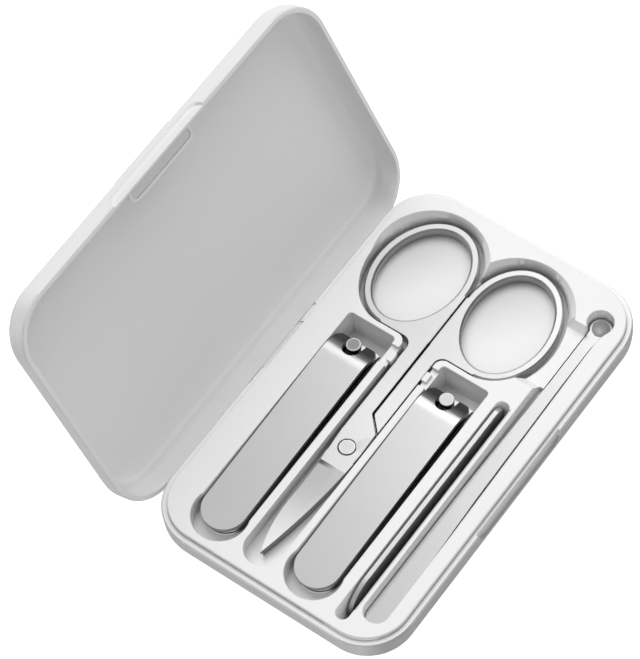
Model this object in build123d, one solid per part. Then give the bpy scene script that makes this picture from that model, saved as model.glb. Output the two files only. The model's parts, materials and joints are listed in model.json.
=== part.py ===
from build123d import *
import os
from math import atan2, degrees

# Pocket manicure set in a hinged case, lid open, tools in the moulded insert.
# Millimetres. Origin: centre of the flat underside. +X towards the scissor loops,
# -Y the front with the thumb recess, +Y the hinge, +Z up.

# ---------- case ----------
LEDGE_W = 1.5          # bare rim of the base round the raised insert
CORNER_R = 12.9        # case corners seen from above
BASE_SOFT = 7.5        # rounding between side and underside
RIM_SOFT = 0.35        # chamfer of the outer rim edges
FLOOR_T = 1.5          # floor of the base
CAVITY_CUT = 3.6       # chamfer of the cavity inside the rounded edge
SEAT_STEP = 0.9        # extra wall thickness below the shelf that carries the insert
SHELF_DROP = 2.4       # shelf below the rim
FIT = 0.05             # side clearance of the insert in the base
THUMB_L = 34.6         # thumb recess on the front
THUMB_H = 6.4
THUMB_D = 0.75
# ---------- insert ----------
STEP_UP = 1.2          # top of the insert above the rim
PLATE_T = 1.5
SKIRT_T = 1.2
TUB_WALL = 1.0
TUB_FLOOR = 0.9
UNDER_GAP = 0.6        # free height between the deepest tub and the floor
MOUTH = 0.25           # chamfer round the insert and the pocket mouths
POCKET_R = 0.8         # corners of the clipper pockets ahead of the jaws
END_LAND = 2.8         # insert beyond the pockets at both ends
PICK_LAND = 3.9        # insert in front of the pick pocket
SLOT_LAND = 1.55       # between pick pocket and file slot
SLOT_BEVEL = 0.7       # bevel of that land on the side of the file
FILE_LAND = 3.3        # between file slot and front clipper
SHANK_LAND = 2.0       # between front clipper and scissors
REAR_LAND = 2.2        # between scissors and rear clipper
HINGE_LAND = 8.2       # between rear clipper and hinge edge
# ---------- lid ----------
LID_H = 8.0
LID_SOFT = 5.0
LID_WALL = 1.4
LID_TOP = 1.5
LID_INNER_SOFT = 3.2
LID_GAP = 0.15         # closed gap between the rims
LID_OPEN = 113.216     # opening angle shown
BOSS_L = 23.8          # magnet housing on the front wall of the lid
BOSS_W = 4.8
BOSS_WALL = 0.8
BOSS_CLEAR = 0.2       # above the insert when shut
COVER_T = 0.8
COVER_SINK = 0.3
MAGNET_T = 1.5
KEEPER_L = 18.0
KEEPER_T = 1.1
KEEPER_H = 3.0
# ---------- hinge ----------
AXIS_IN = 1.2          # hinge axis inside the rear face
AXIS_DROP = 2.65       # hinge axis below the rim
BARREL_R = 1.9
PIN_R = 0.75
PIN_L = 26.2
TONGUE_HALF = 7.6
EAR_L = 5.7
EAR_GAP = 0.2
TONGUE_T = 1.3
# ---------- clippers ----------
CLIP_L = 62.1
CLIP_W = 12.0
ARM_IN = 0.2           # arms in from the sides of the lever
TAIL_SLIM = 0.1        # round tail of the lever, smaller than half its width
NOSE_R = 19.0          # rounded cutting edges seen from above
ARM_T = 1.2
LEVER_T = 1.3
JAW_DEPTH = 8.0        # pocket floor under the jaws, below the rim
CLIP_SEAT = 0.2
CLIP_ROOM_B = 0.2      # beside the lever towards the hinge
CLIP_ROOM_F = 1.4      # and towards the front
JAW_ROOM = 3.9         # ahead of the jaws
TAIL_ROOM = 3.6        # behind the tail
TAIL_BULGE_R = 7.2
TAIL_PLAY = 2.9        # tail end in from the longest pocket end
RIVET_IN = 6.3         # tail rivet in from the tail
RIVET_R = 1.5
TAIL_Z = 5.05          # joint of the two arms above the clipper's lowest point
PIN_BACK = 3.3         # post behind the cutting edges
POST_R = 1.5
NECK_R = 1.2
HEAD_R = 1.9
HEAD_T = 1.2
HEAD_Z = 9.4           # top of the post
BEND_BACK = 6.6        # bend of the lever
BEND_Z = 9.05
BEND_R = 2.8
FORK_BACK = 1.75       # fork tip, about which the lever flips over
FORK_Z = 6.75
LEVER_TAIL_Z = 7.05
NOTCH_R = 2.3
JAW_GAP = 1.0
LOWER_EDGE_Z = 3.2
# ---------- scissors ----------
SC_TIP = 34.3          # rivet to tip
SC_LOOP = 49.5         # rivet to loop centre
LOOP_A = 16.6
LOOP_B = 12.75
LOOP_RING = 2.3
LOOP_TILT = 5.0
LOOP_SOFT = 0.45       # chamfer of the finger rings
SHANK_W = 3.95
LAP_U = 10.9           # start of the half lap, behind the rivet
LAP_RUN = 4.3          # its slant
WEB_SOFT = 2.4         # corner between shank and finger ring
SC_T = 2.9
SC_SINK = 0.5          # top of the scissors below the rim
SC_SEAT = 0.1
SC_SPLIT = 0.4         # between the two halves
SC_LAP = 0.05          # half the free height in the lap
TIP_ROOM = 4.2
LOOP_ROOM = 1.8
RING_ROOM = 1.05
SHANK_ROOM_F = 0.9
SHANK_ROOM_B = 0.85
SC_RIVET_R = 1.4
SC_RIVET_HEAD_R = 2.05
SC_RIVET_HEAD_T = 0.5
SC_RIVET_PROUD = 0.15
GRIND_BACK = 6.1       # step of the ground blade, ahead of the rivet
GRIND_T = 0.6
SCOOP_R = 15.0
SCOOP_OUT = 3.4
SCOOP_DY = 12.7
SCOOP_SLOPE = 0.787
TAB_BACK = 2.0         # snap fingers beside the shanks, behind the cutting edges of the clippers
TAB_L = 2.6
TAB_W = 1.4
TAB_GAP = 0.2          # finger to shank on the hinge side
TAB_GAP_F = 0.5        # and on the front side, where the shank swings out
TAB_LOW = 0.3          # below the top of the insert
TAB_WELL = 1.2
TAB_WELL_L = 5.9       # dip of the wall round the fingers
# ---------- nail file and ear pick ----------
FILE_T = 1.1
FILE_L = 64.0
FILE_H = 8.9
FILE_PROUD = 1.5
FILE_SEAT = 0.1
SLOT_W = 3.4
SLOT_ROOM_L = 3.8
SLOT_ROOM_R = 1.0
PICK_T = 1.2
PICK_SINK = 1.8
PICK_SEAT = 0.1
PICK_TAIL_W = 5.7
PICK_GRIP_L = 39.0
PICK_TAPER_L = 75.0
PICK_MID_F = 1.56      # front edge of the handle where its taper slows
PICK_NECK_W = 2.9
NECK_DY = 0.32         # neck towards the hinge from the middle of the handle
PICK_L = 99.2
PICK_TAIL_ROOM = 3.5
SPOON_R = 2.7
SPOON_DY = -0.2
SWEEP_R = 12.0         # sweep from the neck to the front of the spoon
BOWL_R = 3.4           # hollow of the spoon
BOWL_W = 2.4           # its rim
PICK_ROOM = 0.25
PICK_WALL_L = 25.0     # straight part of the pocket's front wall
NECK_ROOM = 1.1
NECK_L = 10.0          # parallel part of the front wall ahead of the spoon
SPOON_ROOM = 0.6
DIP_L = 17.8           # lowered land beside the neck, for a fingertip
DIP_ROOM = 3.8         # from the end of the dip to the middle of the spoon
DIP_RAMP = 2.6         # slant of its end towards the tail
DIP_END = 1.0          # and towards the spoon

# ---------- layout across the case, front to hinge ----------
PICK_W = PICK_TAIL_W + 2 * PICK_ROOM
ARM_W = CLIP_W - 2 * ARM_IN
CLIP_BAY = CLIP_W + CLIP_ROOM_B + CLIP_ROOM_F
SHANK_BAY = SHANK_ROOM_F + 2 * SHANK_W + SC_SPLIT + SHANK_ROOM_B
INSERT_W = (PICK_LAND + PICK_W + SLOT_LAND + SLOT_W + FILE_LAND + CLIP_BAY + SHANK_LAND
            + SHANK_BAY + REAR_LAND + CLIP_BAY + HINGE_LAND)
CASE_W = INSERT_W + 2 * LEDGE_W
SC_L = SC_TIP + SC_LOOP + LOOP_A
CASE_L = 2 * (LEDGE_W + END_LAND) + TIP_ROOM + SC_L + LOOP_ROOM
BASE_H = FLOOR_T + UNDER_GAP + TUB_FLOOR + JAW_DEPTH

Y_PICK = -INSERT_W / 2 + PICK_LAND                    # front wall of each pocket
Y_SLOT = Y_PICK + PICK_W + SLOT_LAND
Y_FRONT_CLIP = Y_SLOT + SLOT_W + FILE_LAND
Y_SHANK = Y_FRONT_CLIP + CLIP_BAY + SHANK_LAND
Y_REAR_CLIP = Y_SHANK + SHANK_BAY + REAR_LAND
X_END = -CASE_L / 2 + LEDGE_W + END_LAND              # left end of the longest pockets
SC_X = X_END + TIP_ROOM + SC_TIP                      # scissor rivet
SC_Y = Y_SHANK + SHANK_ROOM_F + SHANK_W + SC_SPLIT / 2
LOOP_DY = LOOP_B + SC_SPLIT / 2
JAW_X = X_END + TAIL_PLAY + CLIP_L                    # cutting edges
WALL_X = JAW_X + JAW_ROOM
RIVET_BACK = CLIP_L - RIVET_IN                        # tail rivet behind the cutting edges
CLIP_YS = {"rear": Y_REAR_CLIP + CLIP_ROOM_F + CLIP_W / 2, "front": Y_FRONT_CLIP + CLIP_ROOM_F + CLIP_W / 2}
BAY_DY = (CLIP_ROOM_B - CLIP_ROOM_F) / 2              # middle of a clipper pocket from the clipper
CLIP_Z = BASE_H - JAW_DEPTH + CLIP_SEAT
TOP_Z = BASE_H + STEP_UP
PLATE_Z = TOP_Z - PLATE_T
SHELF_Z = BASE_H - SHELF_DROP
HINGE_Y = CASE_W / 2 - AXIS_IN
HINGE_Z = BASE_H - AXIS_DROP
EAR_IN = TONGUE_HALF + EAR_GAP
EAR_OUT = EAR_IN + EAR_L


def plan(inset, z0, z1):
    """Prism with the case outline, pulled in by inset."""
    sk = RectangleRounded(CASE_L - 2 * inset, CASE_W - 2 * inset, CORNER_R - inset)
    return extrude(Pos(0, 0, z0) * sk, z1 - z0)


def rect(x0, x1, y0, y1):
    return Pos((x0 + x1) / 2, (y0 + y1) / 2) * Rectangle(x1 - x0, y1 - y0)


def prism(sk, z0, z1):
    return extrude(Pos(0, 0, z0) * sk, z1 - z0, dir=(0, 0, 1))


def slab(x0, x1, y0, y1, z0, z1):
    return Pos((x0 + x1) / 2, (y0 + y1) / 2, (z0 + z1) / 2) * Box(x1 - x0, y1 - y0, z1 - z0)


def x_rod(r, x0, x1, y, z):
    return Pos((x0 + x1) / 2, y, z) * Rot(0, 90, 0) * Cylinder(r, x1 - x0)


def side_prism(wire, y0, y1):
    """Solid from a closed outline drawn in X and Z, between two values of Y."""
    return extrude(Pos(0, y1, 0) * (Plane.XZ * make_face(wire)), y1 - y0, dir=(0, -1, 0))


def edges_at(part, z, tol=1e-4):
    return part.edges().filter_by_position(Axis.Z, z - tol, z + tol)


# ---------- base ----------
def thumb_recess(z_mid):
    """Shallow obround scoop in the front, half in the base and half in the lid."""
    slope = degrees(atan2(1.0, 1.6))
    sk = Plane(origin=(0, -CASE_W / 2 - 0.01, z_mid), x_dir=(1, 0, 0), z_dir=(0, 1, 0)) * \
        SlotOverall(THUMB_L, THUMB_H)
    return extrude(sk, THUMB_D + 0.01, taper=slope / 2)


def base_shell():
    body = plan(0, 0, BASE_H)
    body = fillet(edges_at(body, 0), BASE_SOFT)
    body = chamfer(edges_at(body, BASE_H), RIM_SOFT)
    under = LEDGE_W + SEAT_STEP
    cavity = plan(under, FLOOR_T, BASE_H + 1)
    cavity = chamfer(edges_at(cavity, FLOOR_T), CAVITY_CUT)
    body = body - cavity - plan(LEDGE_W, SHELF_Z, BASE_H + 1) - thumb_recess(BASE_H + LID_GAP / 2)
    back = CASE_W / 2 + 2
    # the rear rim steps down over the hinge and opens for the tongue of the lid
    body -= slab(-EAR_OUT - 0.1, EAR_OUT + 0.1, HINGE_Y + 0.5, back, HINGE_Z, BASE_H + 1)
    body -= slab(-EAR_IN, EAR_IN, HINGE_Y - 0.25, back, HINGE_Z - BARREL_R - 0.35, BASE_H + 1)
    body -= x_rod(BARREL_R + 0.15, -EAR_IN, EAR_IN, HINGE_Y, HINGE_Z)
    for s in (-1, 1):
        x0, x1 = sorted((s * EAR_IN, s * EAR_OUT))
        body += x_rod(BARREL_R, x0, x1, HINGE_Y, HINGE_Z)
    return body - x_rod(PIN_R + 0.01, -EAR_OUT - 1, EAR_OUT + 1, HINGE_Y, HINGE_Z)


# ---------- pockets: outline(grow) and the floor under it ----------
def clip_outline(y, grow):
    half = CLIP_BAY / 2 + grow
    x_tail = X_END + TAIL_PLAY - TAIL_ROOM + TAIL_BULGE_R
    sk = Pos((WALL_X + grow + x_tail) / 2, y + BAY_DY) * Rectangle(WALL_X + grow - x_tail, 2 * half)
    sk = fillet(sk.vertices().group_by(Axis.X)[-1], POCKET_R + grow)
    return sk + Pos(x_tail, y + BAY_DY) * Circle(TAIL_BULGE_R + grow)


def clip_floor(drop):
    """Outline in X and Z of the space above the sloping pocket floor."""
    z_jaw = BASE_H - JAW_DEPTH - drop
    z_tail = CLIP_Z + TAIL_Z - ARM_T - 0.1 - drop
    x_tail = JAW_X - RIVET_BACK
    pts = [(X_END - 9, z_tail), (x_tail, z_tail), (JAW_X - PIN_BACK - 1.5, z_jaw), (WALL_X + 9, z_jaw),
           (WALL_X + 9, TOP_Z + 1), (X_END - 9, TOP_Z + 1)]
    return Polyline(*pts, close=True)


def loop_place(side):
    return Pos(SC_X + SC_LOOP, SC_Y + side * LOOP_DY) * Rot(0, 0, -side * LOOP_TILT)


def scissor_outline(grow):
    x_web = SC_X + SC_LOOP - LOOP_A - RING_ROOM + 0.1
    r_tip = SHANK_BAY / 2
    sk = Pos((X_END + r_tip + x_web + 9) / 2, Y_SHANK + r_tip) * \
        Rectangle(x_web + 9 - X_END - r_tip, SHANK_BAY + 2 * grow)
    sk += Pos(x_web + 8 - grow / 2, SC_Y) * Rectangle(16 + grow, 2 * LOOP_DY + 2 * grow)
    web = [v for v in sk.vertices() if abs(v.X - x_web + grow) < 0.01 and abs(v.Y - SC_Y) < 9]
    sk = fillet(web, WEB_SOFT - grow)
    sk += Pos(X_END + r_tip, Y_SHANK + r_tip) * Circle(r_tip + grow)
    for side in (-1, 1):
        sk += loop_place(side) * Ellipse(LOOP_A + RING_ROOM + grow, LOOP_B + RING_ROOM + grow)
    return sk


def scoops(grow, drop):
    """Finger scoops that slope down to the loops."""
    z0 = BASE_H - SC_SINK - SC_T - SC_SEAT - drop
    out = []
    for side in (-1, 1):
        rise = TOP_Z - z0
        cone = Cone(SCOOP_R - SCOOP_SLOPE * rise + grow, SCOOP_R + grow, rise)
        out.append(Pos(SC_X + SC_LOOP + SCOOP_OUT, SC_Y + side * SCOOP_DY, z0 + rise / 2) * cone)
    return out[0] + out[1]


def slot_outline(grow):
    length = SLOT_ROOM_L + FILE_L + SLOT_ROOM_R + 2 * grow
    return Pos(X_END - grow + length / 2, Y_SLOT + SLOT_W / 2) * SlotOverall(length, SLOT_W + 2 * grow)


def slot_floor(drop):
    z0 = BASE_H + FILE_PROUD - FILE_H - FILE_SEAT - drop
    x0 = X_END - drop - 0.3
    line = FilletPolyline((x0, TOP_Z + 1), (x0, z0), (WALL_X + 20, z0), radius=4 + drop)
    return Wire(line.edges() + [Edge.make_line((WALL_X + 20, z0), (WALL_X + 20, TOP_Z + 1)),
                                Edge.make_line((WALL_X + 20, TOP_Z + 1), (x0, TOP_Z + 1))])


PICK_Y = Y_PICK + PICK_W / 2                     # axis of the pick at its tail
PICK_R = PICK_TAIL_W / 2
PICK_TAIL_X = X_END + PICK_TAIL_ROOM + PICK_R
SPOON_X = X_END + PICK_TAIL_ROOM + PICK_L - SPOON_R
SPOON_Y = PICK_Y + SPOON_DY
DIP_X1 = SPOON_X - DIP_ROOM
DIP_X0 = DIP_X1 - DIP_L


NECK_UP = NECK_DY + PICK_NECK_W / 2
NECK_DOWN = NECK_DY - PICK_NECK_W / 2


def sweep(sk, r):
    """Round the front corner where the neck runs into the spoon."""
    near = [v for v in sk.vertices() if SPOON_X - 4 < v.X < SPOON_X - 0.5 and v.Y < SPOON_Y]
    return fillet(near, r)


def pick_outline(grow):
    """Pocket of the handle, narrower beside the neck, round at the spoon."""
    half = PICK_W / 2 + grow
    rear = NECK_UP + PICK_ROOM + grow
    front = NECK_DOWN - NECK_ROOM - grow
    pts = [(PICK_TAIL_X, half), (DIP_X0, half), (DIP_X0, rear), (SPOON_X, rear), (SPOON_X, front),
           (SPOON_X - NECK_L, front), (PICK_TAIL_X + PICK_WALL_L, -half), (PICK_TAIL_X, -half)]
    sk = Pos(0, PICK_Y) * make_face(Polyline(*pts, close=True)) + Pos(PICK_TAIL_X, PICK_Y) * Circle(half)
    sk += Pos(SPOON_X, SPOON_Y) * Circle(SPOON_R + SPOON_ROOM + grow)
    return sweep(sk, SWEEP_R - grow)


def dip_cut(grow=0, drop=0):
    """Space above the lowered land between the neck of the pick and the front finger ring."""
    top, low = TOP_Z + 0.5, DIP_Z - drop
    x0, x1 = DIP_X0 - grow, DIP_X1 + grow
    rise = (top - low) / (TOP_Z - DIP_Z)
    wire = Polyline((x0, low), (x1, low), (x1 + rise * DIP_END, top), (x0 - rise * DIP_RAMP, top), close=True)
    return side_prism(wire, PICK_Y, SC_Y - LOOP_DY - LOOP_B / 2)


def clip_cut(y, grow=0, drop=0):
    tall = prism(clip_outline(y, grow), 0, TOP_Z + 0.5)
    return tall & side_prism(clip_floor(drop), -CASE_W, CASE_W)


def slot_cut(grow=0, drop=0):
    tall = prism(slot_outline(grow), 0, TOP_Z + 0.5)
    return tall & side_prism(slot_floor(drop), -CASE_W, CASE_W)


SC_FLOOR = BASE_H - SC_SINK - SC_T - SC_SEAT
PICK_FLOOR = BASE_H - PICK_SINK - PICK_T - PICK_SEAT
DIP_Z = BASE_H - PICK_SINK


def tray_insert():
    plate = plan(LEDGE_W + FIT, PLATE_Z, TOP_Z)
    skirt = plan(LEDGE_W + FIT, SHELF_Z, PLATE_Z) - plan(LEDGE_W + FIT + SKIRT_T, SHELF_Z - 1, PLATE_Z)
    skirt -= slab(-EAR_OUT - 0.3, EAR_OUT + 0.3, HINGE_Y - 4, CASE_W, SHELF_Z - 1, PLATE_Z)
    tubs = prism(scissor_outline(TUB_WALL), SC_FLOOR - TUB_FLOOR, PLATE_Z + 0.2)
    tubs += scoops(TUB_WALL, TUB_FLOOR) & slab(-90, 90, -90, 90, 0, PLATE_Z + 0.2)
    tubs += prism(pick_outline(TUB_WALL), PICK_FLOOR - TUB_FLOOR, PLATE_Z + 0.2)
    low = slab(-90, 90, -90, 90, 0, PLATE_Z + 0.2)
    tubs += dip_cut(TUB_WALL, TUB_FLOOR) & low
    for y in CLIP_YS.values():
        tubs += clip_cut(y, TUB_WALL, TUB_FLOOR) & low
    tubs += slot_cut(TUB_WALL, TUB_FLOOR) & low
    tray = plate + skirt + tubs
    for y in CLIP_YS.values():
        tray -= clip_cut(y)
    tray -= slot_cut()
    tray -= prism(pick_outline(0), PICK_FLOOR, TOP_Z + 1)
    tray = chamfer(edges_at(tray, TOP_Z), MOUTH)
    tray -= prism(scissor_outline(0), SC_FLOOR, TOP_Z + 1)
    tray -= scoops(0, 0)
    tray -= dip_cut()
    bevel = Polyline((Y_SLOT + 0.1, TOP_Z + 0.1), (Y_SLOT + 0.1, TOP_Z - SLOT_BEVEL),
                     (Y_SLOT - SLOT_BEVEL, TOP_Z + 0.1), close=True)
    tray -= extrude(Pos(X_END + SLOT_ROOM_L, 0, 0) * (Plane.YZ * make_face(bevel)), FILE_L, dir=(1, 0, 0))
    # a finger on each side of the shanks, standing in a dip of the wall
    x0 = JAW_X - TAB_BACK
    for side, gap, y_wall, land in ((1, TAB_GAP, Y_SHANK + SHANK_BAY, REAR_LAND),
                                    (-1, TAB_GAP_F, Y_SHANK - SHANK_LAND, SHANK_LAND)):
        x_mid = x0 + TAB_L / 2
        tray -= slab(x_mid - TAB_WELL_L / 2, x_mid + TAB_WELL_L / 2, y_wall - 0.1, y_wall + land + 0.1,
                     TOP_Z - TAB_WELL, TOP_Z + 1)
        near = SC_Y + side * (SC_SPLIT / 2 + SHANK_W + gap)
        y0, y1 = sorted((near, near + side * TAB_W))
        tray += slab(x0, x0 + TAB_L, y0, y1, SC_FLOOR - 0.4, TOP_Z - TAB_LOW)
    return tray


def lid_parts():
    z0, z1 = BASE_H + LID_GAP, BASE_H + LID_GAP + LID_H
    body = plan(0, z0, z1)
    body = fillet(edges_at(body, z1), LID_SOFT)
    body = chamfer(edges_at(body, z0), RIM_SOFT)
    hollow = plan(LID_WALL, z0 - 1, z1 - LID_TOP)
    hollow = fillet(edges_at(hollow, z1 - LID_TOP), LID_INNER_SOFT)
    body = body - hollow - thumb_recess(BASE_H + LID_GAP / 2)
    # magnet housing behind the thumb recess
    z_face = TOP_Z + BOSS_CLEAR
    y_boss = -CASE_W / 2 + LID_WALL + BOSS_W / 2
    boss = prism(Pos(0, y_boss) * RectangleRounded(BOSS_L, BOSS_W, 2.3), z_face, z1 - LID_TOP + 0.2)
    well = RectangleRounded(BOSS_L - 2 * BOSS_WALL, BOSS_W - 2 * BOSS_WALL, 2.3 - BOSS_WALL)
    well_deep = COVER_SINK + COVER_T + MAGNET_T
    body = body + boss - prism(Pos(0, y_boss) * well, z_face - 1, z_face + well_deep)
    cover = prism(Pos(0, y_boss) * well, z_face + COVER_SINK, z_face + COVER_SINK + COVER_T)
    mag = prism(Pos(0, y_boss) * offset(well, -0.15), z_face + COVER_SINK + COVER_T, z_face + well_deep)
    # tongue of the hinge
    body += slab(-TONGUE_HALF, TONGUE_HALF, CASE_W / 2 - TONGUE_T, CASE_W / 2, HINGE_Z, z0 + RIM_SOFT)
    body += x_rod(BARREL_R, -TONGUE_HALF, TONGUE_HALF, HINGE_Y, HINGE_Z)
    body -= x_rod(PIN_R + 0.05, -TONGUE_HALF - 1, TONGUE_HALF + 1, HINGE_Y, HINGE_Z)
    hinge = Axis((0, HINGE_Y, HINGE_Z), (1, 0, 0))
    return [p.rotate(hinge, -LID_OPEN) for p in (body, cover, mag)]


# ---------- nail clipper, drawn with its cutting edges at x = 0 and its lowest point at z = 0 ----------
def arm_plan(length):
    half = ARM_W / 2
    tail = Pos(-length + half, 0) * Circle(half)
    flat = Pos(-(length - half) / 2, 0) * Rectangle(length - half, ARM_W)
    nose = Pos(-NOSE_R, 0) * Circle(NOSE_R)
    tip = rect(1 - NOSE_R, 0, -half, half)
    return tail + (flat - tip) + (tip & nose)


def clipper(y):
    place = Pos(JAW_X, y, CLIP_Z)
    slope_x = JAW_ROOM + 2.6
    tail_x = -CLIP_L + 0.5
    low = [Edge.make_line((tail_x, TAIL_Z - ARM_T), (-RIVET_BACK, TAIL_Z - ARM_T)),
           Edge.make_line((-RIVET_BACK, TAIL_Z - ARM_T), (-slope_x, 0)),
           Edge.make_line((-slope_x, 0), (-2.8, 0)),
           Edge.make_three_point_arc((-2.8, 0), (-0.65, 1.2), (0, LOWER_EDGE_Z)),
           Edge.make_line((0, LOWER_EDGE_Z), (-0.3, LOWER_EDGE_Z)),
           Edge.make_three_point_arc((-0.3, LOWER_EDGE_Z), (-1.6, 1.9), (-4.2, ARM_T)),
           Edge.make_line((-4.2, ARM_T), (-slope_x, ARM_T)),
           Edge.make_line((-slope_x, ARM_T), (-RIVET_BACK, TAIL_Z)),
           Edge.make_line((-RIVET_BACK, TAIL_Z), (tail_x, TAIL_Z)),
           Edge.make_line((tail_x, TAIL_Z), (tail_x, TAIL_Z - ARM_T))]
    outline = prism(arm_plan(CLIP_L - 0.5), -1, 20)
    lower = side_prism(Wire(low), -ARM_W, ARM_W) & outline
    z_tail = TAIL_Z + 0.1
    z_pin = z_tail - 0.3
    z_edge = LOWER_EDGE_Z + JAW_GAP
    up = [Edge.make_line((tail_x, z_tail), (-7, z_pin)),
          Edge.make_three_point_arc((-7, z_pin), (-2.4, z_pin - 0.1), (-0.3, z_edge)),
          Edge.make_line((-0.3, z_edge), (0, z_edge)),
          Edge.make_three_point_arc((0, z_edge), (-1.1, z_edge + 1.3), (-4.4, z_pin + ARM_T)),
          Edge.make_line((-4.4, z_pin + ARM_T), (tail_x, z_tail + ARM_T)),
          Edge.make_line((tail_x, z_tail + ARM_T), (tail_x, z_tail))]
    upper = side_prism(Wire(up), -ARM_W, ARM_W) & outline
    # tail rivet with a countersunk head, and the post with its foot, neck and round head
    z_top = z_tail + ARM_T
    rivet = revolve(Plane.XZ * make_face(Polyline(
        (0, TAIL_Z - ARM_T), (RIVET_R, TAIL_Z - ARM_T), (RIVET_R, z_top - 0.55),
        (RIVET_R + 0.6, z_top - 0.05), (0, z_top - 0.05), close=True)), Axis.Z)
    sink = revolve(Plane.XZ * make_face(Polyline(
        (0, TAIL_Z), (RIVET_R + 0.07, TAIL_Z), (RIVET_R + 0.07, z_top - 0.62), (RIVET_R + 0.87, z_top + 0.1),
        (0, z_top + 0.1), close=True)), Axis.Z)
    at_rivet = Pos(-RIVET_BACK, 0, 0)
    post = revolve(Plane.XZ * make_face(Polyline(
        (0, 0.05), (POST_R + 0.7, 0.05), (POST_R + 0.7, 0.45), (POST_R, 0.45), (POST_R, z_pin + ARM_T + 0.1),
        (NECK_R, z_pin + ARM_T + 0.3), (NECK_R, HEAD_Z - HEAD_T), (HEAD_R, HEAD_Z - HEAD_T),
        (HEAD_R, HEAD_Z - 0.15), (HEAD_R - 0.15, HEAD_Z), (0, HEAD_Z), close=True)), Axis.Z)
    at_post = Pos(-PIN_BACK, 0, 0)
    lower = lower - at_rivet * rivet - at_post * post
    upper = upper - at_rivet * sink - at_post * Pos(0, 0, z_pin) * Cylinder(POST_R + 0.15, 8)
    # lever: bent strip, forked round the neck of the post
    path = FilletPolyline((-CLIP_L - 1, LEVER_TAIL_Z), (-BEND_BACK, BEND_Z), (-FORK_BACK, FORK_Z),
                          radius=BEND_R)
    strip = side_prism(offset(path, LEVER_T / 2).wires()[0], -CLIP_W, CLIP_W)
    half, r_tail = CLIP_W / 2, CLIP_W / 2 - TAIL_SLIM
    sheet = make_face(Polyline((-CLIP_L + r_tail, r_tail), (-BEND_BACK, half), (-1.0, half),
                               (-1.0, -half), (-BEND_BACK, -half), (-CLIP_L + r_tail, -r_tail), close=True))
    sheet = fillet(sheet.vertices().group_by(Axis.X)[-1], 2.4)
    sheet += Pos(-CLIP_L + r_tail, 0) * Circle(r_tail)
    x_notch = -BEND_BACK + NOTCH_R
    sheet -= Pos(x_notch, 0) * Circle(NOTCH_R)
    sheet -= Pos(x_notch + 4, 0) * Rectangle(8, 2 * NOTCH_R)
    lever = strip & prism(sheet, 0, 20)
    pieces = {"lower_arm": lower, "tail_rivet": at_rivet * rivet, "post": at_post * post,
              "upper_arm": upper, "lever": lever}
    return {name: place * solid for name, solid in pieces.items()}


# ---------- scissors, drawn with the rivet at x = y = 0 ----------
def oval(a, b, z0, z1, soft):
    """Elliptic disc with chamfered rims, or one that flares at its rims where soft is negative."""
    steps = [(z0, soft), (z0 + abs(soft), 0), (z1 - abs(soft), 0), (z1, soft)]
    return loft([Pos(0, 0, z) * Ellipse(a - s, b - s) for z, s in steps], ruled=True)


def loop_half(z0, z1):
    """Shank, web and finger ring of one half, on the side of positive y."""
    g, x_web = SC_SPLIT / 2, SC_LOOP - LOOP_A
    sk = rect(LAP_U - LAP_RUN, x_web + LOOP_A, g, g + SHANK_W)
    sk += rect(x_web, x_web + LOOP_A + 0.9, g, LOOP_DY + 1.05)
    corner = [v for v in sk.vertices() if abs(v.X - x_web) < 0.1 and abs(v.Y - g - SHANK_W) < 0.1]
    sk = fillet(corner, WEB_SOFT)
    ring = Pos(SC_LOOP, LOOP_DY) * Rot(0, 0, -LOOP_TILT)
    body = prism(sk, z0, z1) + ring * oval(LOOP_A, LOOP_B, z0, z1, LOOP_SOFT)
    body -= ring * oval(LOOP_A - LOOP_RING, LOOP_B - LOOP_RING, z0, z1, -LOOP_SOFT)
    return body & slab(0, SC_LOOP + 2 * LOOP_A, g, g + 3 * LOOP_B, z0, z1)


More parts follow.
